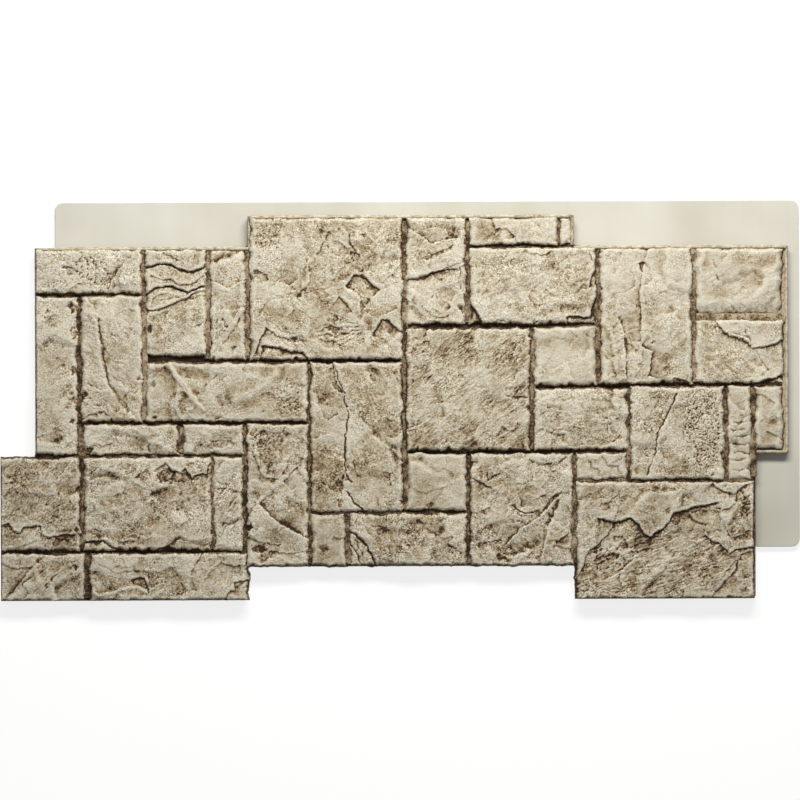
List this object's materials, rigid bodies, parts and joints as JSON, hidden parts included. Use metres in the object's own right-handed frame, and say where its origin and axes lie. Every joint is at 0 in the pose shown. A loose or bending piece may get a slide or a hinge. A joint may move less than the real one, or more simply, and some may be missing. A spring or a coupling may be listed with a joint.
{
  "type": "faux stone wall panel",
  "caption": "One-piece moulded wall panel with a field of random split-stone faces, stepped interlocking ends and thin laps at the top and right.",
  "frame": {"origin": "middle of the flat back, under the centre of the outline's bounding box", "axes": "+X along the panel's length to the right lap, +Y up the wall to the top lap, +Z out of the wall through the stone faces; the panel lies on its back"},
  "size_m": [1.2446, 0.62, 0.0318],
  "materials": {
    "stone_foam": "cream beige stone texture with a brown wash in the recesses"
  },
  "bodies": {
    "root": {"faux_stone_panel": "stone_foam"}
  },
  "joints": []
}
